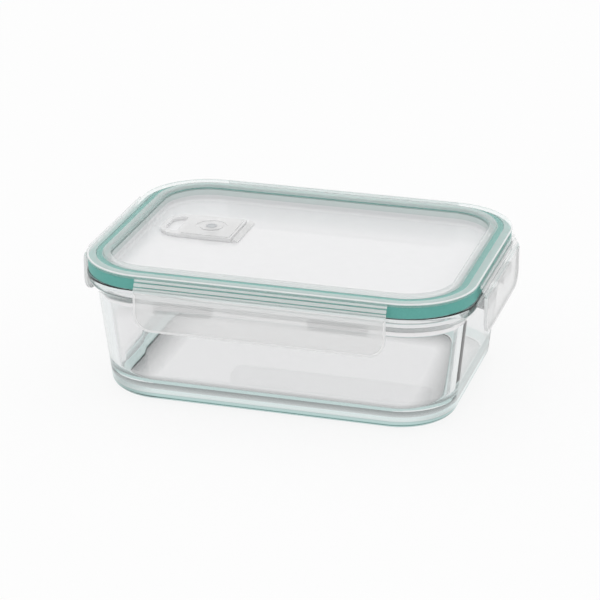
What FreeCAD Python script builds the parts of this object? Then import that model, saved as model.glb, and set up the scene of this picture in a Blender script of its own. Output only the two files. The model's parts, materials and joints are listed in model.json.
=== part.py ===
import FreeCAD, Part
import os
import re
import Sketcher

# Glass food box with a clear locking lid, in millimetres.
# The origin is the centre of the base. +X runs along the long side, -Y is the front, +Z is up.

SIZES = [
    ("lid_half_x", 101.5, "half length of the lid's outer edge"),
    ("lid_half_y", 75.4, "half width of the lid's outer edge"),
    ("lid_corner", 35.9, "corner radius of the lid's outer edge"),
    ("glass_height", 64.3, "height of the glass rim above the table"),
    ("glass_wall", 4.4, "thickness of the glass wall at the floor"),
    ("glass_floor", 5.5, "thickness of the glass floor"),
    ("base_inset", 10.5, "glass base inside the lid's edge"),
    ("base_corner", 29.3, "corner radius of the glass base"),
    ("base_edge", 7.0, "rounding of the outer edge of the base"),
    ("wall_inset", 4.3, "glass wall inside the lid's edge, just under the rim"),
    ("cavity_inset", 8.5, "mouth of the glass inside the lid's edge"),
    ("cavity_edge", 9.0, "rounding of the inner edge of the floor"),
    ("rim_overhang", 0.3, "glass rim outside the lid's edge"),
    ("rim_band", 4.0, "height of the upright face of the rim"),
    ("rim_slope", 4.2, "rise and run of the slope under the rim"),
    ("rim_edge", 1.2, "rounding of the rim's top edges"),
    ("rim_belly", 2.0, "rounding between the rim's face and its slope"),
    ("seal_gap", 0.2, "gap between the seal and the glass rim"),
    ("seal_height", 5.9, "height of the seal"),
    ("seal_inset", 0.5, "outer face of the seal inside the lid's edge"),
    ("seal_play", 0.3, "gap between the seal and the lid's tub"),
    ("seal_wall", 2.4, "thickness of the seal's two sealing lips"),
    ("seal_channel", 2.2, "depth of the channel between the sealing lips"),
    ("ridge_inset", 5.2, "outer face of the seal's top ridge inside the lid's edge"),
    ("ridge_width", 2.8, "width of the seal's top ridge"),
    ("ridge_height", 0.9, "height of the seal's top ridge"),
    ("ridge_play", 0.15, "gap round the ridge in its groove"),
    ("ledge_thickness", 2.0, "thickness of the lid's ledge"),
    ("ledge_edge", 0.8, "rounding of the lid's outer top edge"),
    ("lip_rise", 1.1, "height of the lip above the ledge"),
    ("lip_width", 4.2, "width of the lip on top"),
    ("lip_edge", 0.9, "rounding of the lip's top edges"),
    ("tub_play", 2.0, "gap between the lid's tub and the mouth of the glass"),
    ("tub_wall", 1.8, "thickness of the tub's wall"),
    ("recess_depth", 9.5, "depth of the recess from the lip to the panel"),
    ("recess_edge", 1.6, "rounding between the panel and the tub's wall"),
    ("panel_thickness", 1.6, "thickness of the lid's panel"),
    ("hinge_out", 1.2, "outer hinge line outside the lid's edge"),
    ("hinge_drop", 1.2, "outer hinge line below the top of the ledge"),
    ("hinge_gap", 0.3, "gap at each hinge line"),
    ("strip_pitch", 6.2, "distance between the two hinge lines"),
    ("strip_tilt", 27.0, "lean of the hinge strip from upright, in degrees"),
    ("strip_thickness", 1.5, "thickness of the hinge strip"),
    ("strip_bead", 0.85, "radius of the bead on the strip's hinge line"),
    ("flap_thickness", 1.8, "thickness of the flap"),
    ("flap_bead", 1.0, "radius of the bead on the flap's hinge line"),
    ("flap_length", 20.9, "flap from its hinge line to its lower edge"),
    ("flap_corner", 9.0, "rounding of the flap's lower corners"),
    ("flap_margin", 0.8, "end of the flap before the lid's corner starts"),
    ("grip_radius", 1.1, "radius of the grip bead along the flap's lower edge"),
    ("hook_play", 0.5, "upright gap between the hook and the rim's slope"),
    ("hook_reach", 3.0, "reach of the hook under the rim"),
    ("hook_tip", 0.9, "height of the hook's tip"),
    ("hook_depth", 5.2, "height of the hook at the flap"),
    ("hook_margin", 9.8, "end of the hook before the end of the flap"),
    ("long_hook", 30.0, "length of each hook on the front and back flaps"),
    ("short_hook", 20.0, "length of each hook on the side flaps"),
    ("vent_from_edge", 45.8, "vent plug's centre from the lid's left edge"),
    ("vent_back", 18.4, "vent plug's centre behind the middle of the lid"),
    ("vent_width", 30.0, "width of the vent flap"),
    ("vent_pull", 26.5, "end of the finger pull from the plug's centre"),
    ("vent_hinge", 15.2, "vent hinge line from the plug's centre"),
    ("vent_gap", 0.3, "gap between the vent flap and the panel"),
    ("vent_thickness", 1.8, "thickness of the vent flap"),
    ("vent_corner", 11.0, "rounding of the finger pull's corners"),
    ("vent_bead", 1.0, "radius of the bead on the vent hinge line"),
    ("window_start", 16.0, "near edge of the pull's window from the plug's centre"),
    ("pull_bar", 3.5, "width of the pull's bar round its window"),
    ("window_corner", 5.0, "corner radius of the pull's window"),
    ("plate_start", 12.0, "edge of the raised plate on the pull's side"),
    ("plate_end", 12.5, "edge of the raised plate on the hinge side"),
    ("plate_rise", 0.5, "height of the raised plate"),
    ("plate_border", 1.2, "border of the vent flap round its raised plate"),
    ("button_outer", 8.3, "outer radius of the ring groove on the plate"),
    ("button_inner", 6.2, "inner radius of the ring groove on the plate"),
    ("button_depth", 0.4, "depth of the ring groove"),
    ("root_width", 2.7, "width of the vent hinge's fixed root"),
    ("root_rise", 2.3, "height of the root on the hinge side"),
    ("root_fall", 0.8, "height of the root on its far side"),
    ("bore_radius", 5.0, "radius of the vent hole"),
    ("collar_wall", 1.6, "thickness of the collar round the vent hole"),
    ("collar_drop", 4.5, "collar below the panel"),
    ("plug_play", 0.4, "gap round the plug at the top of the vent hole"),
    ("plug_depth", 4.5, "depth of the plug below the vent flap"),
    ("plug_taper", 1.1, "how much narrower the plug is at its tip"),
    ("stem_radius", 2.9, "radius of the plug's stem"),
    ("stem_play", 0.1, "gap round the plug's stem in the vent flap"),
    ("stem_proud", 0.2, "stem above the raised plate"),
]

ALIASES = [alias for alias, size, note in SIZES]
ALIAS_WORDS = re.compile(r"\b(" + "|".join(ALIASES) + r")\b")

doc = FreeCAD.newDocument("glass_food_box")
sheet = doc.addObject("Spreadsheet::Sheet", "dims")
for row, (alias, size, note) in enumerate(SIZES, start=1):
    sheet.set(f"A{row}", alias)
    sheet.set(f"B{row}", str(size))
    sheet.setAlias(f"B{row}", alias)
    sheet.set(f"C{row}", note)
doc.recompute()

# Levels above the table, from the glass upwards.
RIM_FACE = "(glass_height - rim_band)"
RIM_UNDER = f"({RIM_FACE} - rim_slope)"
SEAL_UNDER = "(glass_height + seal_gap)"
LEDGE_UNDER = f"({SEAL_UNDER} + seal_height)"
LEDGE_TOP = f"({LEDGE_UNDER} + ledge_thickness)"
LIP_TOP = f"({LEDGE_TOP} + lip_rise)"
PANEL_TOP = f"({LIP_TOP} - recess_depth)"
PANEL_UNDER = f"({PANEL_TOP} - panel_thickness)"
VENT_UNDER = f"({PANEL_TOP} + vent_gap)"
VENT_TOP = f"({VENT_UNDER} + vent_thickness)"
VENT_AXIS = f"({VENT_UNDER} + vent_thickness / 2)"

# Outlines inside the lid's outer edge.
TUB_INSET = "(cavity_inset + tub_play)"
RECESS_INSET = f"({TUB_INSET} + tub_wall)"
LIP_INSET = f"({RECESS_INSET} - lip_width)"

# The vent's place on the lid.
VENT_X = "-(lid_half_x - vent_from_edge)"
VENT_Y = "vent_back"


def formula(words):
    """The same formula with every size read from the sheet."""
    return ALIAS_WORDS.sub(r"dims.\1", words)


def value(words):
    """The number that a formula gives now."""
    return float(sheet.evalExpression(formula(words)))


def new_body(label, x="0", y="0", turn=0):
    """A named piece at its place, turned about the upright axis by quarter turns."""
    body = doc.addObject("PartDesign::Body", label)
    body.Label = label
    body.Placement = FreeCAD.Placement(FreeCAD.Vector(), FreeCAD.Rotation(FreeCAD.Vector(0, 0, 1), turn))
    body.setExpression("Placement.Base.x", formula(x))
    body.setExpression("Placement.Base.y", formula(y))
    return body


def new_sketch(body, name, plane, level="0", x="0", y="0"):
    """A sketch on one of the piece's own planes, moved along the plane's normal and within it."""
    sketch = body.newObject("Sketcher::SketchObject", name)
    support = [feature for feature in body.Origin.OriginFeatures if feature.Role == plane][0]
    sketch.AttachmentSupport = [(support, "")]
    sketch.MapMode = "FlatFace"
    sketch.setExpression("AttachmentOffset.Base.x", formula(x))
    sketch.setExpression("AttachmentOffset.Base.y", formula(y))
    sketch.setExpression("AttachmentOffset.Base.z", formula(level))
    return sketch


def bind(sketch, constraint, words):
    """Add a sized constraint that reads its size from the sheet."""
    index = sketch.addConstraint(constraint)
    sketch.setExpression(f"Constraints[{index}]", formula(words))


def pin(sketch, line, end, axis, words):
    """Hold one coordinate of a line's end at a formula, on either side of the sketch's origin."""
    size = value(words)
    kind = "Distance" + axis
    if abs(size) < 1e-9:
        origin_line = -2 if axis == "X" else -1
        sketch.addConstraint(Sketcher.Constraint("PointOnObject", line, end, origin_line))
    elif size > 0:
        bind(sketch, Sketcher.Constraint(kind, -1, 1, line, end, size), words)
    else:
        bind(sketch, Sketcher.Constraint(kind, line, end, -1, 1, -size), f"-({words})")


def draw_polygon(sketch, corners):
    """A closed outline of straight lines through corners that are given as formulas."""
    points = [FreeCAD.Vector(value(x), value(y), 0) for x, y in corners]
    count = len(points)
    lines = []
    for i in range(count):
        lines.append(sketch.addGeometry(Part.LineSegment(points[i], points[(i + 1) % count])))
    for i in range(count):
        sketch.addConstraint(Sketcher.Constraint("Coincident", lines[i], 2, lines[(i + 1) % count], 1))
    for line, (x, y) in zip(lines, corners):
        pin(sketch, line, 1, "X", x)
        pin(sketch, line, 1, "Y", y)


def draw_circle(sketch, radius):
    """A circle about the sketch's origin."""
    circle = Part.Circle(FreeCAD.Vector(), FreeCAD.Vector(0, 0, 1), value(radius))
    index = sketch.addGeometry(circle)
    sketch.addConstraint(Sketcher.Constraint("Coincident", index, 3, -1, 1))
    bind(sketch, Sketcher.Constraint("Radius", index, value(radius)), radius)


def draw_rounded(sketch, half_x, half_y, corner):
    """A rounded rectangle about the sketch's origin: a straight side, then a corner, four times."""
    long, wide, bend = value(half_x), value(half_y), value(corner)
    side_ends = [
        ((bend - long, -wide), (long - bend, -wide)),
        ((long, bend - wide), (long, wide - bend)),
        ((long - bend, wide), (bend - long, wide)),
        ((-long, wide - bend), (-long, bend - wide)),
    ]
    bend_centres = [(long - bend, bend - wide), (long - bend, wide - bend),
                    (bend - long, wide - bend), (bend - long, bend - wide)]
    quarter = 1.5707963267948966
    sides = []
    bends = []
    for i in range(4):
        start, end = side_ends[i]
        line = Part.LineSegment(FreeCAD.Vector(*start, 0), FreeCAD.Vector(*end, 0))
        sides.append(sketch.addGeometry(line))
        circle = Part.Circle(FreeCAD.Vector(*bend_centres[i], 0), FreeCAD.Vector(0, 0, 1), bend)
        arc = Part.ArcOfCircle(circle, (i - 1) * quarter, i * quarter)
        bends.append(sketch.addGeometry(arc))
    for i in range(4):
        sketch.addConstraint(Sketcher.Constraint("Tangent", sides[i], 2, bends[i], 1))
        sketch.addConstraint(Sketcher.Constraint("Tangent", bends[i], 2, sides[(i + 1) % 4], 1))
    for i in range(2):
        sketch.addConstraint(Sketcher.Constraint("Horizontal", sides[2 * i]))
        sketch.addConstraint(Sketcher.Constraint("Vertical", sides[2 * i + 1]))
    for i in range(1, 4):
        sketch.addConstraint(Sketcher.Constraint("Equal", bends[0], bends[i]))
    sketch.addConstraint(Sketcher.Constraint("Symmetric", sides[0], 1, sides[2], 1, -1, 1))
    bind(sketch, Sketcher.Constraint("Radius", bends[0], bend), corner)
    bind(sketch, Sketcher.Constraint("DistanceX", sides[3], 1, sides[1], 1, 2 * long), f"2 * ({half_x})")
    bind(sketch, Sketcher.Constraint("DistanceY", sides[0], 1, sides[2], 1, 2 * wide), f"2 * ({half_y})")


def draw_inset(sketch, inset, corner=None):
    """The lid's outline, drawn inside its outer edge by an inset."""
    draw_rounded(sketch, f"lid_half_x - {inset}", f"lid_half_y - {inset}", corner or f"lid_corner - {inset}")


def extrude(body, kind, name, sketch, length, symmetric=False, reverse=False):
    """A pad or pocket whose length is a formula."""
    feature = body.newObject("PartDesign::" + kind, name)
    feature.Profile = sketch
    feature.setExpression("Length", formula(length))
    feature.SideType = "Symmetric" if symmetric else "One side"
    feature.Reversed = reverse
    sketch.Visibility = False
    return feature


def loft(body, kind, name, lower, upper):
    """A straight-sided loft between two outlines."""
    feature = body.newObject("PartDesign::" + kind, name)
    feature.Profile = lower
    feature.Sections = [upper]
    feature.Ruled = True
    return feature


def round_edges(body, name, radius, chosen):
    """Round the edges of the piece so far that a test on their boxes chooses."""
    doc.recompute()
    base = body.Tip
    names = [f"Edge{i}" for i, edge in enumerate(base.Shape.Edges, start=1) if chosen(edge.BoundBox)]
    feature = body.newObject("PartDesign::Fillet", name)
    feature.Base = (base, names)
    feature.setExpression("Radius", formula(radius))
    return feature


def near(number, words):
    """True where a measured number is what a formula gives."""
    return abs(number - value(words)) < 0.01


def level_edge(box, level):
    """True for an edge that lies flat at a level."""
    return near(box.ZMin, level) and near(box.ZMax, level)


def beyond(box, inset):
    """True for an edge that reaches outside an outline inside the lid's edge, at a side or a corner."""
    half_x = value(f"lid_half_x - {inset}")
    half_y = value(f"lid_half_y - {inset}")
    return max(box.XMax, -box.XMin) > half_x or max(box.YMax, -box.YMin) > half_y


def make_glass_dish():
    """Pressed glass dish: drafted walls, a thick floor and a rim with a slope for the hooks."""
    body = new_body("glass_dish")
    base = new_sketch(body, "base_outline", "XY_Plane")
    draw_inset(base, "base_inset", "base_corner")
    neck = new_sketch(body, "neck_outline", "XY_Plane", RIM_FACE)
    draw_inset(neck, "wall_inset")
    loft(body, "AdditiveLoft", "wall", base, neck)

    slope_foot = new_sketch(body, "slope_foot", "XY_Plane", RIM_UNDER)
    draw_inset(slope_foot, "(rim_slope - rim_overhang)")
    slope_head = new_sketch(body, "slope_head", "XY_Plane", RIM_FACE)
    draw_inset(slope_head, "(-rim_overhang)")
    loft(body, "AdditiveLoft", "rim_slope", slope_foot, slope_head)
    band = new_sketch(body, "band_outline", "XY_Plane", RIM_FACE)
    draw_inset(band, "(-rim_overhang)")
    extrude(body, "Pad", "rim_band", band, "rim_band")

    floor = new_sketch(body, "floor_outline", "XY_Plane", "glass_floor")
    draw_inset(floor, "(base_inset + glass_wall)", "base_corner - glass_wall")
    mouth = new_sketch(body, "mouth_outline", "XY_Plane", "glass_height")
    draw_inset(mouth, "cavity_inset")
    loft(body, "SubtractiveLoft", "cavity", floor, mouth)

    round_edges(body, "base_edge", "base_edge", lambda box: level_edge(box, "0"))
    round_edges(body, "cavity_edge", "cavity_edge", lambda box: level_edge(box, "glass_floor"))
    round_edges(body, "rim_belly", "rim_belly", lambda box: level_edge(box, RIM_FACE))
    round_edges(body, "rim_edge", "rim_edge", lambda box: level_edge(box, "glass_height"))
    return body


def make_seal_ring():
    """Soft seal: a ring with two sealing lips below and a ridge that sits in the lid's groove."""
    body = new_body("seal_ring")
    inner_inset = f"({TUB_INSET} - seal_play)"
    ring = new_sketch(body, "ring_outline", "XY_Plane", SEAL_UNDER)
    draw_inset(ring, "seal_inset")
    draw_inset(ring, inner_inset)
    extrude(body, "Pad", "ring", ring, "seal_height")

    ridge = new_sketch(body, "ridge_outline", "XY_Plane", LEDGE_UNDER)
    draw_inset(ridge, "ridge_inset")
    draw_inset(ridge, "(ridge_inset + ridge_width)")
    extrude(body, "Pad", "ridge", ridge, "ridge_height")

    channel = new_sketch(body, "channel_outline", "XY_Plane", SEAL_UNDER)
    draw_inset(channel, "(seal_inset + seal_wall)")
    draw_inset(channel, f"({inner_inset} - seal_wall)")
    extrude(body, "Pocket", "channel", channel, "seal_channel", reverse=True)
    return body


def make_lid_panel():
    """Clear lid: a ledge over the seal, a lip, a recessed panel and a collar round the vent hole."""
    body = new_body("lid_panel")
    ledge = new_sketch(body, "ledge_outline", "XY_Plane", LEDGE_UNDER)
    draw_inset(ledge, "0")
    extrude(body, "Pad", "ledge", ledge, "ledge_thickness")
    lip = new_sketch(body, "lip_outline", "XY_Plane", LEDGE_UNDER)
    draw_inset(lip, LIP_INSET)
    extrude(body, "Pad", "lip", lip, "ledge_thickness + lip_rise")
    tub = new_sketch(body, "tub_outline", "XY_Plane", PANEL_UNDER)
    draw_inset(tub, TUB_INSET)
    extrude(body, "Pad", "tub", tub, f"{LIP_TOP} - {PANEL_UNDER}")
    recess = new_sketch(body, "recess_outline", "XY_Plane", LIP_TOP)
    draw_inset(recess, RECESS_INSET)
    extrude(body, "Pocket", "recess", recess, "recess_depth")

    groove = new_sketch(body, "groove_outline", "XY_Plane", LEDGE_UNDER)
    draw_inset(groove, "(ridge_inset - ridge_play)")
    draw_inset(groove, "(ridge_inset + ridge_width + ridge_play)")
    extrude(body, "Pocket", "groove", groove, "ridge_height + ridge_play", reverse=True)

    collar = new_sketch(body, "collar_outline", "XY_Plane", PANEL_UNDER, VENT_X, VENT_Y)
    draw_circle(collar, "bore_radius + collar_wall")
    extrude(body, "Pad", "collar", collar, "collar_drop", reverse=True)
    bore = new_sketch(body, "bore_outline", "XY_Plane", PANEL_TOP, VENT_X, VENT_Y)
    draw_circle(bore, "bore_radius")
    extrude(body, "Pocket", "bore", bore, "panel_thickness + collar_drop")

    round_edges(body, "recess_edge", "recess_edge",
                lambda box: level_edge(box, PANEL_TOP) and beyond(box, f"({RECESS_INSET} + lid_corner)"))
    round_edges(body, "lip_edge", "lip_edge", lambda box: level_edge(box, LIP_TOP))
    round_edges(body, "ledge_edge", "ledge_edge",
                lambda box: level_edge(box, LEDGE_TOP) and beyond(box, LIP_INSET))
    return body


# Each side's turn about the upright axis, lid edge, flap half width and hook length.
# A side is modelled facing +X and then turned to its place.
FRONT_HALF = "(lid_half_x - lid_corner - flap_margin)"
SIDE_HALF = "(lid_half_y - lid_corner - flap_margin)"
SIDES = [
    ("front", -90, "lid_half_y", FRONT_HALF, "long_hook"),
    ("back", 90, "lid_half_y", FRONT_HALF, "long_hook"),
    ("left", 180, "lid_half_x", SIDE_HALF, "short_hook"),
    ("right", 0, "lid_half_x", SIDE_HALF, "short_hook"),
]


def hinge_lines(lid_edge):
    """Places of the outer and the inner hinge line, outwards and upwards."""
    outer = (f"({lid_edge} + hinge_out)", f"({LEDGE_TOP} - hinge_drop)")
    inner = (f"({outer[0]} + strip_pitch * sin(strip_tilt))", f"({outer[1]} - strip_pitch * cos(strip_tilt))")
    return outer, inner


def make_hinge_strip(side, turn, lid_edge, half_width):
    """Strip between the two thin hinge lines: a bead on the outer line and a flat bar below it."""
    body = new_body(side + "_hinge_strip", turn=turn)
    outer, inner = hinge_lines(lid_edge)
    bead = new_sketch(body, "bead_section", "XZ_Plane", "0", *outer)
    draw_circle(bead, "strip_bead")
    extrude(body, "Pad", "bead", bead, f"2 * {half_width}", symmetric=True)

    bar = new_sketch(body, "bar_section", "XZ_Plane", "0", *outer)
    tilt = FreeCAD.Rotation(FreeCAD.Vector(0, 0, 1), value("strip_tilt"))
    bar.AttachmentOffset = FreeCAD.Placement(bar.AttachmentOffset.Base, tilt)
    bar.setExpression("AttachmentOffset.Rotation.Angle", formula("strip_tilt"))
    half = "strip_thickness / 2"
    drop = "flap_bead + hinge_gap - strip_pitch"
    draw_polygon(bar, [(f"-{half}", "0"), (f"-{half}", drop), (half, drop), (half, "0")])
    extrude(body, "Pad", "bar", bar, f"2 * {half_width}", symmetric=True)
    return body


def make_latch_flap(side, turn, lid_edge, half_width, hook_length):
    """Locking flap: a plate with round lower corners, a hinge bead, a grip bead and two hooks."""
    body = new_body(side + "_latch_flap", turn=turn)
    outer, inner = hinge_lines(lid_edge)
    inner_face = f"({inner[0]} - flap_thickness / 2)"
    plate = new_sketch(body, "plate_outline", "YZ_Plane", inner_face, "0", inner[1])
    foot = "-flap_length"
    draw_polygon(plate, [(f"-{half_width}", "0"), (f"-{half_width}", foot), (half_width, foot), (half_width, "0")])
    extrude(body, "Pad", "plate", plate, "flap_thickness")
    plate_foot = f"{inner[1]} - flap_length"
    round_edges(body, "lower_corners", "flap_corner",
                lambda box: level_edge(box, plate_foot) and box.XLength > value("flap_thickness") / 2)

    bead = new_sketch(body, "bead_section", "XZ_Plane", "0", *inner)
    draw_circle(bead, "flap_bead")
    extrude(body, "Pad", "bead", bead, f"2 * {half_width}", symmetric=True)
    grip = new_sketch(body, "grip_section", "XZ_Plane", "0", inner[0], f"{plate_foot} + grip_radius")
    draw_circle(grip, "grip_radius")
    extrude(body, "Pad", "grip", grip, f"2 * ({half_width} - flap_corner)", symmetric=True)

    # The hook's top runs along the slope under the glass rim, one gap below it.
    rim_edge = f"({lid_edge} + rim_overhang)"
    tip = f"({rim_edge} - hook_reach)"
    hook_top = f"({RIM_FACE} - hook_play)"
    hook_corners = [
        (inner[0], hook_top),
        (rim_edge, hook_top),
        (tip, f"{hook_top} - hook_reach"),
        (tip, f"{hook_top} - hook_reach - hook_tip"),
        (inner[0], f"{hook_top} - hook_depth"),
    ]
    hook_centre = f"({half_width} - hook_margin - {hook_length} / 2)"
    for name, place in (("hook", hook_centre), ("other_hook", f"-{hook_centre}")):
        section = new_sketch(body, name + "_section", "XZ_Plane", place)
        draw_polygon(section, hook_corners)
        extrude(body, "Pad", name, section, hook_length, symmetric=True)
    return body


def make_vent_hinge_root():
    """Fixed root of the vent's hinge: a low wedge that stands on the panel."""
    body = new_body("vent_hinge_root", VENT_X, VENT_Y)
    near_face = "vent_hinge + vent_bead + hinge_gap"
    far_face = f"{near_face} + root_width"
    section = new_sketch(body, "wedge_section", "XZ_Plane", "0", "0", PANEL_TOP)
    draw_polygon(section, [(near_face, "0"), (far_face, "0"), (far_face, "root_fall"), (near_face, "root_rise")])
    extrude(body, "Pad", "wedge", section, "vent_width", symmetric=True)
    return body


def make_vent_flap():
    """Vent flap: a plate with a finger pull round a window, a raised middle and a hinge bead."""
    body = new_body("vent_flap", VENT_X, VENT_Y)
    half = "vent_width / 2"
    plate = new_sketch(body, "plate_outline", "XY_Plane", VENT_UNDER)
    draw_polygon(plate, [("-vent_pull", f"-{half}"), ("vent_hinge", f"-{half}"),
                         ("vent_hinge", half), ("-vent_pull", half)])
    extrude(body, "Pad", "plate", plate, "vent_thickness")
    round_edges(body, "pull_corners", "vent_corner",
                lambda box: near(box.XMin, "-vent_pull") and near(box.XMax, "-vent_pull") and box.YLength < 0.01)

    window_half_x = "((vent_pull - pull_bar - window_start) / 2)"
    window_x = f"-(window_start + {window_half_x})"
    window = new_sketch(body, "window_outline", "XY_Plane", VENT_TOP, window_x)
    draw_rounded(window, window_half_x, f"{half} - pull_bar", f"min(window_corner; {window_half_x} * 0.9)")
    extrude(body, "Pocket", "window", window, "vent_thickness")

    raised = new_sketch(body, "raised_outline", "XY_Plane", VENT_TOP)
    raised_half = f"{half} - plate_border"
    draw_polygon(raised, [("-plate_start", f"-({raised_half})"), ("plate_end", f"-({raised_half})"),
                          ("plate_end", raised_half), ("-plate_start", raised_half)])
    extrude(body, "Pad", "raised_plate", raised, "plate_rise")
    ring = new_sketch(body, "ring_outline", "XY_Plane", f"{VENT_TOP} + plate_rise")
    draw_circle(ring, "button_outer")
    draw_circle(ring, "button_inner")
    extrude(body, "Pocket", "ring_groove", ring, "button_depth")
    socket = new_sketch(body, "socket_outline", "XY_Plane", f"{VENT_TOP} + plate_rise")
    draw_circle(socket, "stem_radius + stem_play")
    extrude(body, "Pocket", "stem_socket", socket, "vent_thickness + plate_rise")

    bead = new_sketch(body, "bead_section", "XZ_Plane", "0", "vent_hinge", VENT_AXIS)
    draw_circle(bead, "vent_bead")
    extrude(body, "Pad", "bead", bead, "vent_width", symmetric=True)
    return body


def make_vent_plug():
    """Soft plug under the vent flap: a tapered stopper in the vent hole and a stem through the flap."""
    body = new_body("vent_plug", VENT_X, VENT_Y)
    section = new_sketch(body, "plug_section", "XZ_Plane", "0", "0", VENT_UNDER)
    head = "vent_thickness + plate_rise + stem_proud"
    shoulder = "bore_radius - plug_play"
    draw_polygon(section, [("0", "-plug_depth"), (f"{shoulder} - plug_taper", "-plug_depth"),
                           (shoulder, "0"), ("stem_radius", "0"), ("stem_radius", head), ("0", head)])
    turned = body.newObject("PartDesign::Revolution", "stopper")
    turned.Profile = section
    turned.ReferenceAxis = (section, ["V_Axis"])
    turned.Angle = 360
    return body


pieces = [make_glass_dish(), make_seal_ring(), make_lid_panel()]
for side, turn, lid_edge, half_width, hook_length in SIDES:
    pieces.append(make_hinge_strip(side, turn, lid_edge, half_width))
    pieces.append(make_latch_flap(side, turn, lid_edge, half_width, hook_length))
pieces.append(make_vent_hinge_root())
pieces.append(make_vent_flap())
pieces.append(make_vent_plug())
doc.recompute()

for item in doc.Objects:
    if "Invalid" in item.State or "Error" in item.State:
        raise RuntimeError(f"{item.Name} failed: {item.State}")
for piece in pieces:
    shape = piece.Shape
    if shape.isNull() or not shape.isValid() or len(shape.Solids) != 1:
        raise RuntimeError(f"{piece.Label} has no single valid solid")

os.makedirs("parts", exist_ok=True)
for piece in pieces:
    piece.Shape.exportStep(os.path.join("parts", piece.Label + ".step"))
    box = piece.Shape.BoundBox
    corners = [box.XMin, box.XMax, box.YMin, box.YMax, box.ZMin, box.ZMax]
    print(piece.Label, round(piece.Shape.Volume, 1), [round(corner, 2) for corner in corners])
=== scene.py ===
import json
import math

import bmesh
import bpy
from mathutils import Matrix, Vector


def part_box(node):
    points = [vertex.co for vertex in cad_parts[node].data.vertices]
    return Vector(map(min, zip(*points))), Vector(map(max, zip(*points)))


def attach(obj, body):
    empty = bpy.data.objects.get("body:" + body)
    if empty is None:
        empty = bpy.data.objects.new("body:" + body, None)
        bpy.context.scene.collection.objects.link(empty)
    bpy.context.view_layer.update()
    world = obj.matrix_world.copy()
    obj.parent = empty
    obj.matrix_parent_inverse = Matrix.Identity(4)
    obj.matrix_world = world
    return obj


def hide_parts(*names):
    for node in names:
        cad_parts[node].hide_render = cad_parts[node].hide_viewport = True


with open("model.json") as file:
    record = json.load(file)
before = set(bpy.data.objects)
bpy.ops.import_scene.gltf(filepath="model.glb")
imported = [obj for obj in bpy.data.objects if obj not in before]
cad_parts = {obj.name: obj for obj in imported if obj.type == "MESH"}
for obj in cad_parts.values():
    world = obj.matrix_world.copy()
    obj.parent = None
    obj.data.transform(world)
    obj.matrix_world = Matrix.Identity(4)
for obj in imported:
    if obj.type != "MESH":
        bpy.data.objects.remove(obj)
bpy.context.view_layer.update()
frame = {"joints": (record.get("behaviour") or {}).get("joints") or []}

# Glass dish
# One piece of clear soda-lime glass, pressed hot in a mould, so its walls lean out and every edge is round.
# The lid's hooks hold the slope under its thick rim. Where the eye looks along the glass it turns green.
mm = 0.001
touch = 0.01 * mm
corner_steps = 24
smooth_angle = math.radians(40)
crease_angle = 0.2
lid_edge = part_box("lid_panel")[1]
lid_corner = 35.9 * mm
rim_half_x, rim_half_y, rim_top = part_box("glass_dish")[1]
rim_corner = rim_half_x - lid_edge.x + lid_corner
rim_band = 4.0 * mm
rim_slope = 5.13 * mm
rim_width = 8.8 * mm
rim_face = rim_top - rim_band
base_half_x, base_half_y, base_corner = 91.0 * mm, 64.9 * mm, 29.3 * mm
floor_half_x, floor_half_y, floor_corner = 86.6 * mm, 60.5 * mm, 24.9 * mm
floor_level = 3.6 * mm
floor_round = 12.0 * mm
base_round = 5.0 * mm
slope_round = 2.5 * mm
belly_round = 2.0 * mm
rim_round = 1.2 * mm
foot_inset = lid_edge.x - base_half_x + base_round + 0.1 * mm
foot_top = base_round + 0.3 * mm
# Painted shade under the dish: a dark haze on the underside, from none in the middle to most at its edge.
edge_shade_width = 24 * mm
edge_shade_start = 0.2 * edge_shade_width
edge_shade_least, edge_shade_most = 0.05, 0.72
glass_ior = 1.52
glass_tint = (0.70, 0.85, 0.84, 1)
tint_density = 28.0
daylight_tint = (0.95, 0.95, 0.95, 1)
noise_low, noise_high = 0.3, 0.7


def start_plate(name, half_x, half_y, corner, level):
    """Start a piece as a flat plate with round corners, open for editing and selected."""
    bpy.ops.object.select_all(action="DESELECT")
    bpy.ops.mesh.primitive_plane_add(size=2 * half_x, location=(0, 0, level))
    bpy.ops.object.transform_apply()
    bpy.context.object.name = name
    bpy.ops.object.mode_set(mode="EDIT")
    bpy.ops.mesh.select_all(action="SELECT")
    bpy.ops.transform.resize(value=(1, half_y / half_x, 1), center_override=(0, 0, level))
    bpy.ops.mesh.bevel(affect="VERTICES", offset=corner, segments=corner_steps)
    bpy.ops.mesh.select_all(action="SELECT")


def add_outline(half_x, half_y, corner, level):
    """Add a flat outline with round corners and no face to the piece in hand."""
    bpy.ops.mesh.primitive_plane_add(size=2 * half_x, location=(0, 0, level))
    bpy.ops.transform.resize(value=(1, half_y / half_x, 1), center_override=(0, 0, level))
    bpy.ops.mesh.bevel(affect="VERTICES", offset=corner, segments=corner_steps)
    bpy.ops.mesh.delete(type="ONLY_FACE")


def lift(height):
    """Extrude the selected faces straight up, or down where the height is negative."""
    bpy.ops.mesh.extrude_region_move(TRANSFORM_OT_translate={"value": (0, 0, height)})


def at(level, low=-1.0, high=1.0):
    """A test for points at one level, within a range of distances inside the lid's outer edge."""
    def test(co):
        return abs(co.z - level) < touch and low < edge_inset(co) < high
    return test


def edge_inset(co):
    """How far a point lies inside the lid's outer edge, seen from above."""
    past_x = max(abs(co.x) - lid_edge.x + lid_corner, 0)
    past_y = max(abs(co.y) - lid_edge.y + lid_corner, 0)
    return lid_corner - math.hypot(past_x, past_y)


def pick_faces(test):
    """Select the faces of the piece in hand whose corners all pass a test on their place."""
    bpy.ops.mesh.select_mode(type="FACE")
    bpy.ops.mesh.select_all(action="DESELECT")
    shape = bmesh.from_edit_mesh(bpy.context.object.data)
    for face in shape.faces:
        if all(test(corner.co) for corner in face.verts):
            face.select_set(True)
    bmesh.update_edit_mesh(bpy.context.object.data)


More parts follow.
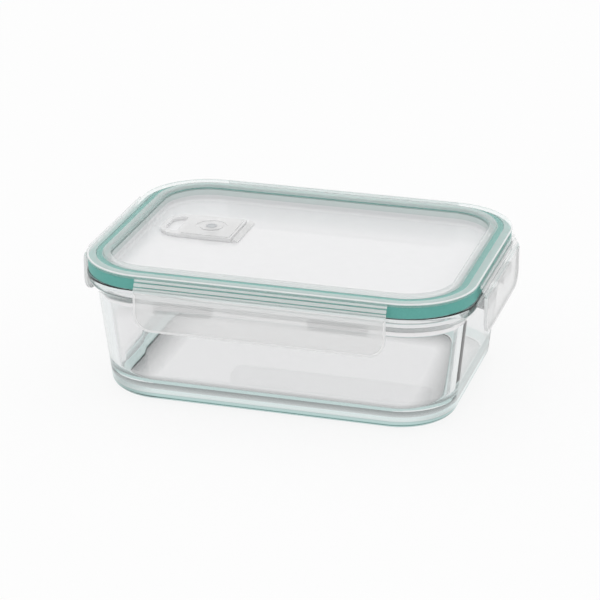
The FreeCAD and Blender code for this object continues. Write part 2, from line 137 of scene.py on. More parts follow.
def pick_edges(test, least_angle=0.0):
    """Select the edges of the piece in hand whose ends pass a test, and whose faces meet at an angle."""
    bpy.ops.mesh.select_mode(type="EDGE")
    bpy.ops.mesh.select_all(action="DESELECT")
    shape = bmesh.from_edit_mesh(bpy.context.object.data)
    for edge in shape.edges:
        bent = least_angle == 0 or edge.calc_face_angle(0) > least_angle
        if bent and all(test(corner.co) for corner in edge.verts):
            edge.select_set(True)
    bmesh.update_edit_mesh(bpy.context.object.data)


def round_over(test, radius, steps):
    """Round the creases of the piece in hand whose ends pass a test."""
    pick_edges(test, least_angle=crease_angle)
    bpy.ops.mesh.bevel(affect="EDGES", offset=radius, segments=steps)


def close_mesh():
    """Merge doubles, turn the faces outwards, leave editing and shade the piece by its large faces."""
    bpy.ops.mesh.select_all(action="SELECT")
    bpy.ops.mesh.remove_doubles(threshold=0.001 * mm)
    bpy.ops.mesh.normals_make_consistent(inside=False)
    bpy.ops.object.mode_set(mode="OBJECT")
    piece = bpy.context.object
    bpy.ops.object.shade_smooth_by_angle(angle=smooth_angle)
    bpy.ops.object.modifier_add(type="WEIGHTED_NORMAL")
    piece.modifiers[-1].keep_sharp = True
    bpy.ops.object.modifier_apply(modifier=piece.modifiers[-1].name)
    return piece


start_plate("pressed_dish", rim_half_x, rim_half_y, rim_corner, rim_face)
lift(rim_band)
bpy.ops.mesh.inset(thickness=rim_width)
bpy.ops.mesh.delete(type="ONLY_FACE")
pick_faces(at(rim_face))
bpy.ops.mesh.inset(thickness=rim_slope, depth=rim_slope)
bpy.ops.mesh.delete(type="ONLY_FACE")
add_outline(base_half_x, base_half_y, base_corner, 0)
pick_edges(lambda co: at(rim_face - rim_slope)(co) or at(0)(co))
bpy.ops.mesh.bridge_edge_loops()
add_outline(floor_half_x, floor_half_y, floor_corner, floor_level)
pick_edges(lambda co: at(rim_top, low=rim_width / 2)(co) or at(floor_level)(co))
bpy.ops.mesh.bridge_edge_loops()
for level in (0, floor_level):
    pick_edges(at(level))
    bpy.ops.mesh.edge_face_add()
bpy.ops.mesh.select_all(action="SELECT")
bpy.ops.mesh.normals_make_consistent(inside=False)
round_over(at(0), base_round, steps=8)
round_over(at(floor_level), floor_round, steps=12)
round_over(at(rim_face - rim_slope), slope_round, steps=5)
round_over(at(rim_face), belly_round, steps=5)
round_over(at(rim_top), rim_round, steps=4)
dish = close_mesh()


def new_material(name, colour, ior):
    """A material with a plain shader of one colour, with its node tree and that shader."""
    material = bpy.data.materials.new(name)
    material.use_nodes = True
    shader = material.node_tree.nodes["Principled BSDF"]
    shader.inputs["Base Color"].default_value = colour
    shader.inputs["IOR"].default_value = ior
    return material, material.node_tree, shader


def ramp(tree, value, start, end, low, high):
    """A value that runs from low to high while another runs from start to end."""
    span = tree.nodes.new("ShaderNodeMapRange")
    span.inputs["From Min"].default_value = start
    span.inputs["From Max"].default_value = end
    span.inputs["To Min"].default_value = low
    span.inputs["To Max"].default_value = high
    tree.links.new(value, span.inputs["Value"])
    return span.outputs["Result"]


def add_grain(tree, shader, scale, detail, gloss, relief):
    """Give a material a fine uneven surface: one noise drives its roughness and its relief."""
    coords = tree.nodes.new("ShaderNodeTexCoord")
    noise = tree.nodes.new("ShaderNodeTexNoise")
    noise.inputs["Scale"].default_value = scale
    noise.inputs["Detail"].default_value = detail
    tree.links.new(coords.outputs["Object"], noise.inputs["Vector"])
    roughness = ramp(tree, noise.outputs["Fac"], noise_low, noise_high, gloss[0], gloss[1])
    tree.links.new(roughness, shader.inputs["Roughness"])
    bump = tree.nodes.new("ShaderNodeBump")
    bump.inputs["Strength"].default_value = 1.0
    bump.inputs["Distance"].default_value = relief
    tree.links.new(noise.outputs["Fac"], bump.inputs["Height"])
    tree.links.new(bump.outputs["Normal"], shader.inputs["Normal"])
    return noise


def paint(piece, material, test):
    """Give one material to the faces of a piece whose corners all pass a test on their place."""
    if material.name not in piece.data.materials:
        piece.data.materials.append(material)
    piece.active_material_index = piece.data.materials.find(material.name)
    bpy.context.view_layer.objects.active = piece
    bpy.ops.object.mode_set(mode="EDIT")
    pick_faces(test)
    bpy.ops.object.material_slot_assign()
    bpy.ops.object.mode_set(mode="OBJECT")


def calculate(tree, operation, *values):
    """A value worked out from others, each of them a plain number or the output of a node."""
    step = tree.nodes.new("ShaderNodeMath")
    step.operation = operation
    for place, value in zip(step.inputs, values):
        if isinstance(value, float):
            place.default_value = value
        else:
            tree.links.new(value, place)
    return step.outputs[0]


def ray_is(tree, *kinds):
    """A value that is 1 for light rays of the named kinds and 0 for all others."""
    path = tree.nodes.new("ShaderNodeLightPath")
    found = path.outputs[kinds[0]]
    for kind in kinds[1:]:
        found = calculate(tree, "MAXIMUM", found, path.outputs[kind])
    return found


def blend(tree, share, first, second):
    """Give a material one shader where a value is 0 and another where it is 1."""
    mix = tree.nodes.new("ShaderNodeMixShader")
    tree.links.new(share, mix.inputs["Fac"])
    tree.links.new(first, mix.inputs[1])
    tree.links.new(second, mix.inputs[2])
    tree.links.new(mix.outputs["Shader"], tree.nodes["Material Output"].inputs["Surface"])


def clear_glass(name, colour):
    """Glass that turns long light paths green. Light falls through it onto what stands behind."""
    material, tree, shader = new_material(name, colour, glass_ior)
    shader.inputs["Transmission Weight"].default_value = 1.0
    add_grain(tree, shader, scale=30, detail=1, gloss=(0.0, 0.02), relief=0.006 * mm)
    tint = tree.nodes.new("ShaderNodeVolumeAbsorption")
    tint.inputs["Color"].default_value = glass_tint
    tint.inputs["Density"].default_value = tint_density
    tree.links.new(tint.outputs["Volume"], tree.nodes["Material Output"].inputs["Volume"])
    clear = tree.nodes.new("ShaderNodeBsdfTransparent")
    clear.inputs["Color"].default_value = daylight_tint
    lit_through = ray_is(tree, "Is Shadow Ray", "Is Diffuse Ray")
    blend(tree, lit_through, shader.outputs["BSDF"], clear.outputs["BSDF"])
    return material


def edge_distance(tree, half_x, half_y):
    """A value that is 0 over a rectangle about the origin and rises with the distance from it."""
    coords = tree.nodes.new("ShaderNodeTexCoord")
    source = coords.outputs["Object"]
    nothing = (0, 0, 0)
    steps = (("ABSOLUTE", nothing), ("SUBTRACT", (half_x, half_y, 0)), ("MAXIMUM", nothing))
    for operation, amount in steps:
        step = tree.nodes.new("ShaderNodeVectorMath")
        step.operation = operation
        step.inputs[1].default_value = amount
        tree.links.new(source, step.inputs[0])
        source = step.outputs["Vector"]
    distance = tree.nodes.new("ShaderNodeVectorMath")
    distance.operation = "LENGTH"
    tree.links.new(source, distance.inputs[0])
    return distance.outputs["Value"]


dish.data.materials.append(clear_glass("pressed_glass", (0.945, 0.92, 0.926, 1)))
# The foot's rounding is tinted a darker green: partly the green of looking along thick glass, partly painted
# shade where the dish stands on the floor.
foot_glass_shade = clear_glass("foot_glass_shade", (0.45, 0.62, 0.6, 1))
paint(dish, foot_glass_shade, lambda co: co.z < foot_top and edge_inset(co) < foot_inset)

# The underside has a fine stipple grain and a dark haze that grows denser towards its edge: painted shade
# for the shadow under the thick edge.
stipple_shade, tree, shader = new_material("stippled_glass_shade", (0.16, 0.17, 0.17, 1), glass_ior)
add_grain(tree, shader, scale=900, detail=2, gloss=(0.35, 0.55), relief=0.05 * mm)
plain_half_x = base_half_x - base_round - edge_shade_width
plain_half_y = base_half_y - base_round - edge_shade_width
from_plain = edge_distance(tree, plain_half_x, plain_half_y)
haze = ramp(tree, from_plain, edge_shade_start, edge_shade_width, edge_shade_least, edge_shade_most)
tree.links.new(haze, shader.inputs["Alpha"])
paint(dish, stipple_shade, at(0))

# The flat top of the rim, where the seal presses, is part opaque in a dark teal grey: painted shade between
# the seal and the glass.
rim_shade_glass, tree, shader = new_material("rim_shade_glass", (0.34, 0.5, 0.48, 1), glass_ior)
add_grain(tree, shader, scale=30, detail=1, gloss=(0.02, 0.06), relief=0.015 * mm)
shader.inputs["Alpha"].default_value = 0.45
paint(dish, rim_shade_glass, at(rim_top))
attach(dish, "dish")
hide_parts("glass_dish")

# Seal
# A ring of soft teal silicone pushed into the groove under the lid's ledge by the ridge on its top.
# Two lips with a channel between them press on the glass rim. It is moulded, and it pulls out for washing.
seal_low, seal_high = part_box("seal_ring")
seal_inset = lid_edge.x - seal_high.x
seal_ridge = 1.6 * mm
solid_ridge = 0.9 * mm
seal_sag = 0.15 * mm
seal_play = 0.05 * mm
ledge_under = seal_high.z - solid_ridge
seal_under = seal_low.z - seal_sag
seal_top = ledge_under - seal_play
seal_lip = 2.4 * mm
seal_channel = 2.2 * mm
seal_width = 9.7 * mm
ridge_from_edge = 4.2 * mm
ridge_width = 3.6 * mm
seal_round = 0.6 * mm
ridge_round = 0.3 * mm
edge_band = 1 * mm
edge_slack = 0.1 * mm
silicone_ior = 1.41


def colour_ramp(tree, value, start, end, first, last):
    """A colour that runs from one shade to another while a value runs from start to end."""
    shade = tree.nodes.new("ShaderNodeValToRGB")
    shade.color_ramp.elements[0].position = start
    shade.color_ramp.elements[0].color = first
    shade.color_ramp.elements[1].position = end
    shade.color_ramp.elements[1].color = last
    tree.links.new(value, shade.inputs["Fac"])
    return shade.outputs["Color"]


start_plate("silicone_seal", seal_high.x, seal_high.y, lid_corner - seal_inset, seal_under)
lift(seal_top - seal_under)
bpy.ops.mesh.inset(thickness=ridge_from_edge)
lift(seal_ridge)
bpy.ops.mesh.inset(thickness=ridge_width)
lift(-seal_ridge)
bpy.ops.mesh.inset(thickness=seal_width - ridge_from_edge - ridge_width)
bpy.ops.mesh.delete(type="ONLY_FACE")
pick_faces(at(seal_under))
bpy.ops.mesh.inset(thickness=seal_lip)
lift(seal_channel)
bpy.ops.mesh.inset(thickness=seal_width - 2 * seal_lip)
lift(-seal_channel)
bpy.ops.mesh.inset(thickness=seal_lip)
bpy.ops.mesh.delete(type="ONLY_FACE")
inner_face = seal_inset + seal_width - edge_slack
pick_edges(lambda co: at(seal_under, low=inner_face)(co) or at(seal_top, low=inner_face)(co))
bpy.ops.mesh.bridge_edge_loops()
bpy.ops.mesh.select_all(action="SELECT")
bpy.ops.mesh.normals_make_consistent(inside=False)
round_over(at(seal_under), seal_round, steps=3)
round_over(at(seal_top, high=edge_band), seal_round, steps=3)
round_over(at(seal_top + seal_ridge), ridge_round, steps=2)
seal = close_mesh()

dark_teal = (0.12, 0.42, 0.37, 1)
light_teal = (0.14, 0.46, 0.408, 1)
silicone, tree, shader = new_material("teal_silicone", dark_teal, silicone_ior)
noise = add_grain(tree, shader, scale=900, detail=3, gloss=(0.42, 0.58), relief=0.02 * mm)
teal = colour_ramp(tree, noise.outputs["Fac"], noise_low, noise_high, dark_teal, light_teal)
tree.links.new(teal, shader.inputs["Base Color"])
seal.data.materials.append(silicone)
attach(seal, "lid")
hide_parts("seal_ring")

# Lid
# One moulding of clear polypropylene, slightly milky: a ledge over the seal, a lip round a sunk panel
# that the next box stands in, and a collar under the panel round the vent hole. Four flaps round its
# edge lock it to the glass rim.
ledge_thickness = 2.0 * mm
ledge_top = ledge_under + ledge_thickness
lip_inset = 8.1 * mm
lip_rise = 1.1 * mm
lip_top = ledge_top + lip_rise
lip_width = 4.2 * mm
recess_depth = 9.5 * mm
wall_bands = (1.9 * mm, 1.2 * mm, 3.0 * mm, 3.4 * mm)
groove_inset = 4.55 * mm
groove_width = 3.9 * mm
groove_end = groove_inset + groove_width
groove_depth = 1.75 * mm
tub_inset = 10.5 * mm
panel_edge = tub_inset + 0.9 * mm
panel_thickness = 1.6 * mm
panel_top = lip_top - recess_depth
panel_under = panel_top - panel_thickness
collar_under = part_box("lid_panel")[0].z
collar_radius = 6.6 * mm
bore_radius = 5.0 * mm
plug_low, plug_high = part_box("vent_plug")
vent_x = (plug_low.x + plug_high.x) / 2
vent_y = (plug_low.y + plug_high.y) / 2
circle_steps = 64
circle_slack = 0.05 * mm
recess_round = 1.6 * mm
tub_round = 1.0 * mm
lip_round = 0.9 * mm
ledge_round = 0.8 * mm
lip_foot_round = 0.4 * mm
ledge_under_round = 0.3 * mm
thin_from = ledge_under + 0.5 * mm
highlight_from = ledge_under + 1.4 * mm
sheen_ior = 1.8
polished = (0.12, 0.2)
satin = (0.3, 0.4)
near_white = (0.97, 0.97, 0.97)


def add_circle(radius, level):
    """Add a level circle round the vent's axis to the piece in hand."""
    place = (vent_x, vent_y, level)
    bpy.ops.mesh.primitive_circle_add(vertices=circle_steps, radius=radius, location=place)


def on_vent(radius, level):
    """A test for points on a level circle round the vent's axis."""
    def test(co):
        reach = math.hypot(co.x - vent_x, co.y - vent_y)
        return abs(co.z - level) < touch and abs(reach - radius) < circle_slack
    return test


start_plate("clear_lid", lid_edge.x, lid_edge.y, lid_corner, ledge_under)
lift(ledge_thickness)
bpy.ops.mesh.inset(thickness=groove_inset)
bpy.ops.mesh.inset(thickness=lip_inset - groove_inset)
lift(lip_rise)
bpy.ops.mesh.inset(thickness=lip_width)
for drop in wall_bands:
    lift(-drop)
pick_faces(at(ledge_under))
bpy.ops.mesh.inset(thickness=groove_inset)
lift(groove_depth)
bpy.ops.mesh.inset(thickness=groove_width)
lift(-groove_depth)
bpy.ops.mesh.inset(thickness=tub_inset - groove_end)
lift(panel_under - ledge_under)
bpy.ops.mesh.select_all(action="SELECT")
bpy.ops.mesh.normals_make_consistent(inside=False)
round_over(at(panel_top), recess_round, steps=5)
round_over(at(panel_under), tub_round, steps=4)
round_over(at(lip_top), lip_round, steps=4)
round_over(at(ledge_top, high=edge_band), ledge_round, steps=4)
round_over(at(ledge_top, low=lip_inset - edge_band), lip_foot_round, steps=2)
round_over(at(ledge_under, high=edge_band), ledge_under_round, steps=2)
for level in (panel_top, panel_under):
    pick_faces(at(level, low=tub_inset))
    bpy.ops.mesh.delete(type="ONLY_FACE")
add_circle(bore_radius, panel_top)
pick_edges(at(panel_top))
bpy.ops.mesh.fill()
add_circle(collar_radius, panel_under)
pick_edges(at(panel_under))
bpy.ops.mesh.fill()
pick_edges(on_vent(collar_radius, panel_under))
lift(collar_under - panel_under)
lift(0)
narrowing = bore_radius / collar_radius
vent_foot = (vent_x, vent_y, collar_under)
bpy.ops.transform.resize(value=(narrowing, narrowing, 1), center_override=vent_foot)
lift(panel_top - collar_under)
lid = close_mesh()


def milky_plastic(name, colour, haze, gloss):
    """Moulded polypropylene: a white haze stops a share of the light and the rest goes straight through."""
    light_shade = colour + (1,)
    dark_shade = tuple(0.99 * part for part in colour) + (1,)
    material, tree, shader = new_material(name, light_shade, sheen_ior)
    noise = add_grain(tree, shader, scale=180, detail=2, gloss=gloss, relief=0.001 * mm)
    shade = colour_ramp(tree, noise.outputs["Fac"], noise_low, noise_high, dark_shade, light_shade)
    tree.links.new(shade, shader.inputs["Base Color"])
    shader.inputs["Alpha"].default_value = haze
    return material


def zone(near=-1.0, far=1.0, low=-1.0, high=1.0):
    """A test for points between two distances inside the lid's outer edge and between two levels."""
    def test(co):
        return near - touch < edge_inset(co) < far + touch and low - touch < co.z < high + touch
    return test


plastic = milky_plastic("milky_plastic", (0.9, 0.985, 0.975), haze=0.48, gloss=polished)
frosted_plastic = milky_plastic("frosted_plastic", near_white, haze=0.4, gloss=satin)
thin_plastic = milky_plastic("thin_plastic", near_white, haze=0.1, gloss=(0.08, 0.14))
wall_plastic = milky_plastic("wall_plastic", (0.92, 0.92, 0.93), haze=0.85, gloss=polished)
cloudy_plastic = milky_plastic("cloudy_plastic", (0.92, 0.975, 0.97), haze=0.66, gloss=polished)
# Dark grey plastic for the flaps' hooks and the vent collar: painted shade, where shade falls behind the
# flaps and under the panel.
hook_shade_plastic = milky_plastic("hook_shade_plastic", (0.42, 0.42, 0.42), haze=0.45, gloss=polished)
lip_plastic = milky_plastic("lip_plastic", (0.86, 0.88, 0.88), haze=0.5, gloss=(0.1, 0.16))
# Whiter, glossier plastic: a painted highlight along the ledge's outer rounding and the flaps' borders.
edge_highlight_plastic = milky_plastic("edge_highlight_plastic", near_white, haze=0.85, gloss=(0.06, 0.1))
lid.data.materials.append(plastic)
paint(lid, frosted_plastic, zone(near=panel_edge, high=panel_top))
paint(lid, thin_plastic, zone(groove_inset, groove_end, thin_from, ledge_top))
paint(lid, thin_plastic, zone(far=tub_inset, low=ledge_under, high=ledge_top - ledge_round))
# The ledge's outer rounding gets a painted highlight.
paint(lid, edge_highlight_plastic, zone(far=ledge_round, low=highlight_from))
paint(lid, lip_plastic, zone(near=lip_inset, low=ledge_top))
# Each finish starts one band further down the recess wall, and the last one also covers the panel's top.
wall_top = lip_top
for finish, drop in zip((thin_plastic, cloudy_plastic, wall_plastic), wall_bands):
    wall_top -= drop
    paint(lid, finish, zone(near=lip_inset + lip_width, low=panel_top, high=wall_top))
# The vent collar under the panel gets painted shade.
paint(lid, hook_shade_plastic, lambda co: co.z < panel_under + touch
      and math.hypot(co.x - vent_x, co.y - vent_y) < collar_radius + circle_slack)
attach(lid, "lid")
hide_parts("lid_panel")

# Hinge strips
# Between the lid and each flap runs a narrow strip of the same moulding, with a thin hinge line on each
# side. A bead along its top stiffens it. The front and back strips are alike, and so are the side strips.
strip_bead = 0.85 * mm
strip_thickness = 1.5 * mm
strip_length = 5.4 * mm
strip_profile = ((-0.15, 0.6), (-0.3, 1.15), (-1.05, 1.15), (-1.25, 0.7), (-2.05, 0.7), (-2.25, 1.0),
                 (-3.55, 1.0), (-3.75, 0.6), (-4.35, 0.6), (-4.55, 1.15))
strip_thin_bands = ((-0.26, 1.0), (-2.11, -1.19), (-4.41, -3.69))
strip_top_share = 0.6
strip_round = 0.15 * mm
strip_tilt = math.radians(27)
hinge_out = 1.2 * mm
hinges = {joint["name"]: joint.get("pos_m") for joint in frame["joints"]}
hinge_level = hinges["front_strip_hinge"][2]
front_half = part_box("front_hinge_strip")[1].x
side_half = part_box("right_hinge_strip")[1].y
thick_plastic = milky_plastic("thick_plastic", near_white, haze=0.46, gloss=polished)


def start_bar(name, half_length, thickness, low, high):
    """Start a piece as an upright bar along X, open for editing and selected."""
    bpy.ops.object.select_all(action="DESELECT")
    bpy.ops.mesh.primitive_cube_add(size=1)
    bpy.context.object.name = name
    bpy.ops.object.mode_set(mode="EDIT")
    bpy.ops.mesh.select_all(action="SELECT")
    bpy.ops.transform.resize(value=(2 * half_length, thickness, high - low), center_override=(0, 0, 0))
    bpy.ops.transform.translate(value=(0, 0, (low + high) / 2))


def cut(x=None, y=None, z=None):
    """Cut the whole piece in hand across one axis, adding edges and taking nothing away."""
    bpy.ops.mesh.select_all(action="SELECT")
    place = (x or 0, y or 0, z or 0)
    normal = (x is not None, y is not None, z is not None)
    bpy.ops.mesh.bisect(plane_co=place, plane_no=normal)


def pinch(level, share):
    """Draw the edges at one level in to a share of their thickness, as a groove along the bar."""
    pick_edges(lambda co: abs(co.z - level) < touch)
    bpy.ops.transform.resize(value=(1, share, 1), center_override=(0, 0, level))


def soften(width):
    """Round all sharp edges of the piece in hand a little, as a mould leaves them, and close it."""
    bpy.ops.mesh.select_all(action="SELECT")
    bpy.ops.mesh.normals_make_consistent(inside=False)
    bpy.ops.object.mode_set(mode="OBJECT")
    bpy.ops.object.modifier_add(type="BEVEL")
    rounding = bpy.context.object.modifiers[-1]
    rounding.width = width
    rounding.segments = 2
    rounding.limit_method = "ANGLE"
    rounding.angle_limit = math.radians(35)
    bpy.ops.object.modifier_apply(modifier=rounding.name)
    bpy.ops.object.mode_set(mode="EDIT")
    return close_mesh()


def put(piece, place, turn=(0, 0, 0)):
    """Move a piece that was modelled at the origin to its place, with the place in its mesh."""
    bpy.ops.object.select_all(action="DESELECT")
    bpy.context.view_layer.objects.active = piece
    piece.select_set(True)
    piece.rotation_euler = turn
    piece.location = place
    bpy.ops.object.transform_apply()


def copy_turned(piece, name, turn):
    """A copy of a piece with its own mesh, turned about the box's upright axis."""
    bpy.ops.object.select_all(action="DESELECT")
    bpy.context.view_layer.objects.active = piece
    piece.select_set(True)
    bpy.ops.object.duplicate()
    copy = bpy.context.object
    copy.name = name
    put(copy, (0, 0, 0), (0, 0, turn))
    return copy


def make_strip(name, half_length, lid_half):
    """A hinge strip, modelled upright and then leaned out from the lid's edge, facing the front."""
    start_bar(name, half_length, strip_thickness, -strip_length, strip_bead)
    for level, share in strip_profile:
        cut(z=level * mm)
        pinch(level * mm, share)
    pinch(strip_bead, strip_top_share)
    strip = soften(strip_round)
    strip.data.materials.append(thick_plastic)
    for low, high in strip_thin_bands:
        paint(strip, thin_plastic, lambda co: low * mm < co.z < high * mm)
    put(strip, (0, -lid_half - hinge_out, hinge_level), (-strip_tilt, 0, 0))
    return strip


front_strip = make_strip("front_strip", front_half, lid_edge.y)
back_strip = copy_turned(front_strip, "back_strip", math.pi)
right_strip = make_strip("side_strip", side_half, lid_edge.x)
left_strip = copy_turned(right_strip, "left_strip", -math.pi / 2)
put(right_strip, (0, 0, 0), (0, 0, math.pi / 2))
right_strip.name = "right_strip"
strips = {"front": front_strip, "back": back_strip, "left": left_strip, "right": right_strip}
for side, strip in strips.items():
    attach(strip, side + "_strip")
    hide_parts(side + "_hinge_strip")

# Latch flaps
# Four flaps, moulded in one with the lid, that fold down over the glass rim. Two hooks on the back of
# each click under the rim's slope. A bead along the hinge line and a raised border round the face
# stiffen the thin plate.
flap_thickness = 1.8 * mm
flap_bead = 0.65 * mm
flap_length = 20.9 * mm
flap_corner = 9.0 * mm
flap_round = 0.22 * mm
flap_hinge = hinges["front_flap_hinge"]
flap_out = -flap_hinge[1] - lid_edge.y
bead_under, bead_end, face_top = -0.5 * mm, -0.61 * mm, -0.8 * mm
bead_share = 0.55
border_width = 1.2 * mm
border_rise = 0.25 * mm
hook_margin = 9.8 * mm
hook_level = 59.8 * mm
hook_top = hook_level - flap_hinge[2]
hook_depth = 5.2 * mm
hook_shelf = 2.8 * mm
hook_reach = 3.0 * mm
hook_rise = 0.65 * mm
front_hook = 30 * mm
side_hook = 20 * mm
flap_plastic = milky_plastic("flap_plastic", near_white, haze=0.42, gloss=satin)


def near_edge(co, half_length):
    """True for a point of a flap on the raised border along its ends and its lower edge, where a highlight
    is painted.
    """
    from_end = half_length - abs(co.x)
    from_low = co.z + flap_length
    inset = min(from_end, from_low)
    if max(from_end, from_low) < flap_corner:
        inset = flap_corner - math.hypot(flap_corner - from_end, flap_corner - from_low)
    return inset < border_width + edge_slack


def make_flap(name, half_length, hook_length, lid_half):
    """A latch flap, modelled about its hinge line and facing the front, then moved out to the lid's edge."""
    start_bar(name, half_length, flap_thickness, -flap_length, flap_bead)
    hook_far = half_length - hook_margin
    hook_near = hook_far - hook_length
    hook_low = hook_top - hook_depth
    for level in (bead_under, face_top, hook_top, hook_low):
        cut(z=level)
    for place in (-hook_far, -hook_near, 0, hook_near, hook_far):
        cut(x=place)
    pinch(flap_bead, bead_share)
    pinch(bead_under, bead_share)

    def on_low_corner(co):
        return abs(co.z + flap_length) < touch and abs(co.x) > half_length - touch
    round_over(on_low_corner, flap_corner, steps=10)

    back = flap_thickness / 2
    pick_faces(lambda co: co.y < touch - back and co.z < face_top + touch)
    bpy.ops.mesh.inset(thickness=border_width, depth=-border_rise)

    pick_faces(lambda co: co.y > back - touch and hook_near - touch < abs(co.x) < hook_far + touch
               and hook_low - touch < co.z < hook_top + touch)
    for reach, fall in ((hook_shelf, 0), (hook_reach, hook_reach)):
        bpy.ops.mesh.extrude_region_move(TRANSFORM_OT_translate={"value": (0, reach, 0)})
        back += reach
        pick_edges(lambda co: co.y > back - touch and co.z < hook_top - hook_depth / 2)
        bpy.ops.transform.translate(value=(0, 0, hook_rise))
        pick_edges(lambda co: co.y > back - touch and co.z > hook_top - touch)
        bpy.ops.transform.translate(value=(0, 0, -fall))
        pick_faces(lambda co: co.y > back - touch)
    flap = soften(flap_round)
    flap.data.materials.append(flap_plastic)
    # The raised border gets a painted highlight.
    paint(flap, edge_highlight_plastic, lambda co: near_edge(co, half_length))
    paint(flap, plastic, lambda co: co.z > bead_end)
    # The hooks on the flap's back get painted shade.
    paint(flap, hook_shade_plastic, lambda co: co.y > flap_thickness / 2 + edge_slack)
    put(flap, (0, -lid_half - flap_out, flap_hinge[2]))
    return flap


front_flap = make_flap("front_flap", front_half, front_hook, lid_edge.y)
back_flap = copy_turned(front_flap, "back_flap", math.pi)
right_flap = make_flap("side_flap", side_half, side_hook, lid_edge.x)
left_flap = copy_turned(right_flap, "left_flap", -math.pi / 2)
put(right_flap, (0, 0, 0), (0, 0, math.pi / 2))
right_flap.name = "right_flap"
flaps = {"front": front_flap, "back": back_flap, "left": left_flap, "right": right_flap}
for side, flap in flaps.items():
    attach(flap, side + "_flap")
    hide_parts(side + "_latch_flap")

# Steam vent
# A small lift-up flap of the same plastic on the sunk panel. A finger lifts the bar round its window,
# it turns on a thin hinge at a fixed wedge, and a soft plug under its raised middle closes the vent hole.
vent_low, vent_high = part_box("vent_flap")
vent_under = 64.3 * mm
vent_thickness = 1.8 * mm
vent_pull = vent_x - vent_low.x
vent_hinge = hinges["vent_hinge"][0] - vent_x
vent_half = (vent_high.y - vent_low.y) / 2
vent_corner = 11 * mm
vent_round = 0.25 * mm
window_near, window_far = 16.0 * mm, 23.6 * mm
window_near_round, window_far_round = 1.6 * mm, 6.5 * mm
window_half = 10.8 * mm
plate_near, plate_far, plate_half = 12.6 * mm, 13.9 * mm, 14.0 * mm
plate_rise = 0.5 * mm
ring_outer, ring_inner, ring_depth = 8.3 * mm, 6.2 * mm, 0.4 * mm
stem_radius = 2.9 * mm
stem_gap = 0.1 * mm
cut_top = 5 * mm


def in_box(low, high):
    """A test for points inside a box, its faces included."""
    def test(co):
        return all(low[i] - touch < co[i] < high[i] + touch for i in range(3))
    return test


def start_disc(name, radius, place):
    """Start a piece as a flat disc, open for editing and selected."""
    bpy.ops.object.select_all(action="DESELECT")
    bpy.ops.mesh.primitive_circle_add(vertices=circle_steps, radius=radius, location=place, fill_type="NGON")
    bpy.ops.object.transform_apply()
    bpy.context.object.name = name
    bpy.ops.object.mode_set(mode="EDIT")
    bpy.ops.mesh.select_all(action="SELECT")


def carve(piece, radius, inner_radius, low, high):
    """Cut a round hole, or a ring groove where there is an inner radius, into a piece at the origin."""
    start_disc("cutter", radius, (0, 0, low))
    cutter = bpy.context.object
    if inner_radius:
        bpy.ops.mesh.inset(thickness=radius - inner_radius)
        bpy.ops.mesh.delete(type="FACE")
        bpy.ops.mesh.select_all(action="SELECT")
    lift(high - low)
    bpy.ops.mesh.select_all(action="SELECT")
    bpy.ops.mesh.normals_make_consistent(inside=False)
    bpy.ops.object.mode_set(mode="OBJECT")
    bpy.context.view_layer.objects.active = piece
    bpy.ops.object.modifier_add(type="BOOLEAN")
    piece.modifiers[-1].object = cutter
    bpy.ops.object.modifier_apply(modifier=piece.modifiers[-1].name)
    bpy.data.objects.remove(cutter)


start_bar("vent_lift_flap", (vent_pull + vent_hinge) / 2, 2 * vent_half, 0, vent_thickness)
bpy.ops.transform.translate(value=((vent_hinge - vent_pull) / 2, 0, 0))
for place_y in (-vent_half, vent_half):
    pull_corner = in_box((-vent_pull, place_y, 0), (-vent_pull, place_y, vent_thickness))
    round_over(pull_corner, vent_corner, steps=12)
for place in (-window_far, -window_near, -plate_near, plate_far):
    cut(x=place)
for place in (-plate_half, -window_half, window_half, plate_half):
    cut(y=place)
pick_faces(in_box((-window_far, -window_half, 0), (-window_near, window_half, vent_thickness)))
bpy.ops.mesh.bridge_edge_loops()
for place_x, radius in ((-window_far, window_far_round), (-window_near, window_near_round)):
    for place_y in (-window_half, window_half):
        window_corner = in_box((place_x, place_y, 0), (place_x, place_y, vent_thickness))
        round_over(window_corner, radius, steps=8)
pick_faces(in_box((-plate_near, -plate_half, vent_thickness), (plate_far, plate_half, vent_thickness)))
lift(plate_rise)
vent_flap = soften(vent_round)
carve(vent_flap, ring_outer, ring_inner, vent_thickness + plate_rise - ring_depth, cut_top)
carve(vent_flap, stem_radius + stem_gap, 0, -mm, cut_top)
bpy.ops.object.mode_set(mode="EDIT")
close_mesh()
put(vent_flap, (vent_x, vent_y, vent_under))
vent_plastic = milky_plastic("vent_plastic", near_white, haze=0.6, gloss=polished)
vent_flap.data.materials.append(vent_plastic)
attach(vent_flap, "vent")
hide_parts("vent_flap")

root_half, root_low, root_top = 1.35 * mm, 0.02 * mm, 2.3 * mm
root_reach = 17.85 * mm
root_fall = 1.5 * mm
web_top = 0.6 * mm
web_reach = 1.2 * mm
start_bar("vent_root", root_half, 2 * vent_half, root_low, root_top)
cut(z=web_top)
pick_faces(in_box((-root_half, -vent_half, root_low), (-root_half, vent_half, web_top)))
bpy.ops.mesh.extrude_region_move(TRANSFORM_OT_translate={"value": (-web_reach, 0, 0)})
pick_edges(in_box((root_half, -vent_half, root_top), (root_half, vent_half, root_top)))
bpy.ops.transform.translate(value=(0, 0, -root_fall))
vent_root = soften(vent_round)
put(vent_root, (vent_x + root_reach, vent_y, panel_top))
vent_root.data.materials.append(vent_plastic)
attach(vent_root, "lid")
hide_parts("vent_hinge_root")

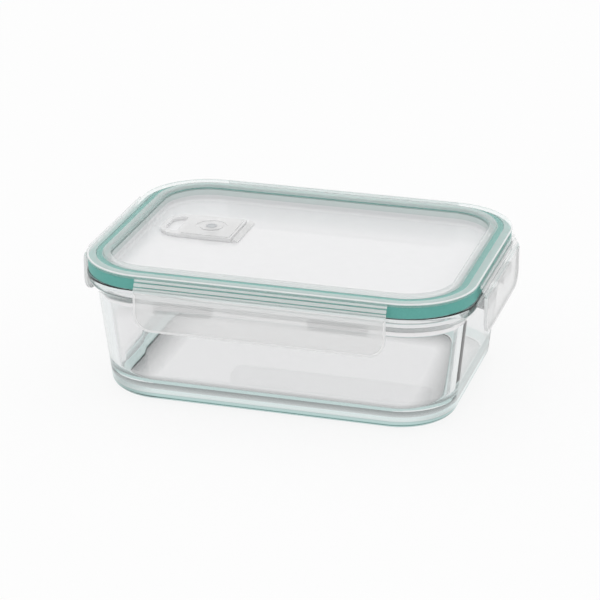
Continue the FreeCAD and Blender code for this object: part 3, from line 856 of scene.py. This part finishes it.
plug_tip, plug_top = 3.5 * mm, 4.6 * mm
plug_gap = 0.05 * mm
plug_round = 0.3 * mm
dimple_edge, dimple_depth = 0.8 * mm, 0.3 * mm
start_disc("vent_stopper", plug_tip, (vent_x, vent_y, plug_low.z))
lift(vent_under - plug_gap - plug_low.z)
widening = plug_top / plug_tip
bpy.ops.transform.resize(value=(widening, widening, 1), center_override=(vent_x, vent_y, 0))
bpy.ops.mesh.inset(thickness=plug_top - stem_radius)
lift(plug_high.z - vent_under + plug_gap)
bpy.ops.mesh.inset(thickness=dimple_edge)
lift(-dimple_depth)
vent_plug = soften(plug_round)
stopper_silicone, tree, shader = new_material("clear_silicone", (0.6, 0.615, 0.63, 1), silicone_ior)
add_grain(tree, shader, scale=900, detail=3, gloss=(0.4, 0.55), relief=0.004 * mm)
vent_plug.data.materials.append(stopper_silicone)
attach(vent_plug, "vent")
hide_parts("vent_plug")

# Floor and light
# A plain white sweep under an even soft light, brightest from above. The floor keeps a faint shadow of
# the box, and mirrored in the box or seen through its glass it is a pale glow that fades outwards.
floor_gap = 0.3 * mm
floor_glow = 0.88
glow_near, glow_far = 0.08, 0.24
near_glow, far_glow = 0.92, 0.72
white = (1, 1, 1, 1)
bpy.ops.object.select_all(action="DESELECT")
bpy.ops.mesh.primitive_plane_add(size=6, location=(0, 0, -floor_gap))
floor = bpy.context.object
floor.name = "floor"
paper, tree, shader = new_material("white_paper", (0.9, 0.9, 0.9, 1), ior=1.45)
add_grain(tree, shader, scale=300, detail=2, gloss=(0.7, 0.9), relief=0.01 * mm)
glow = tree.nodes.new("ShaderNodeEmission")
glow.inputs["Color"].default_value = white
glow.inputs["Strength"].default_value = 1.0
mirrored = ray_is(tree, "Is Glossy Ray", "Is Transmission Ray")
falloff = ramp(tree, edge_distance(tree, 0, 0), glow_near, glow_far, near_glow, far_glow)
mirrored_glow = calculate(tree, "MULTIPLY", mirrored, falloff)
glow_share = calculate(tree, "MULTIPLY_ADD", ray_is(tree, "Is Camera Ray"), floor_glow, mirrored_glow)
blend(tree, glow_share, shader.outputs["BSDF"], glow.outputs["Emission"])
floor.data.materials.append(paper)

sky_low = (0.42, 0.42, 0.42, 1)
sky_high = (1.08, 1.08, 1.08, 1)
sky_full = 0.75
world = bpy.data.worlds.new("studio")
bpy.context.scene.world = world
world.use_nodes = True
tree = world.node_tree
coords = tree.nodes.new("ShaderNodeTexCoord")
split = tree.nodes.new("ShaderNodeSeparateXYZ")
tree.links.new(coords.outputs["Generated"], split.inputs["Vector"])
sky = colour_ramp(tree, split.outputs["Z"], 0.0, sky_full, sky_low, sky_high)
seen = ray_is(tree, "Is Camera Ray", "Is Glossy Ray", "Is Transmission Ray")
backdrop = tree.nodes.new("ShaderNodeMix")
backdrop.data_type = "RGBA"
tree.links.new(seen, backdrop.inputs["Factor"])
tree.links.new(sky, backdrop.inputs["A"])
backdrop.inputs["B"].default_value = white
tree.links.new(backdrop.outputs["Result"], tree.nodes["Background"].inputs["Color"])

# Camera
# The photograph's viewpoint.
camera_place = (0.344975, -1.184974, 0.535584)
camera_tilt = math.radians(68.025)
camera_turn = math.radians(16.298)
lens_length = 152.99
sensor_width = 36
bpy.ops.object.camera_add(location=camera_place, rotation=(camera_tilt, 0, camera_turn))
camera = bpy.context.object
camera.data.lens = lens_length
camera.data.sensor_width = sensor_width
bpy.context.scene.camera = camera
bpy.context.scene.view_settings.view_transform = "Standard"
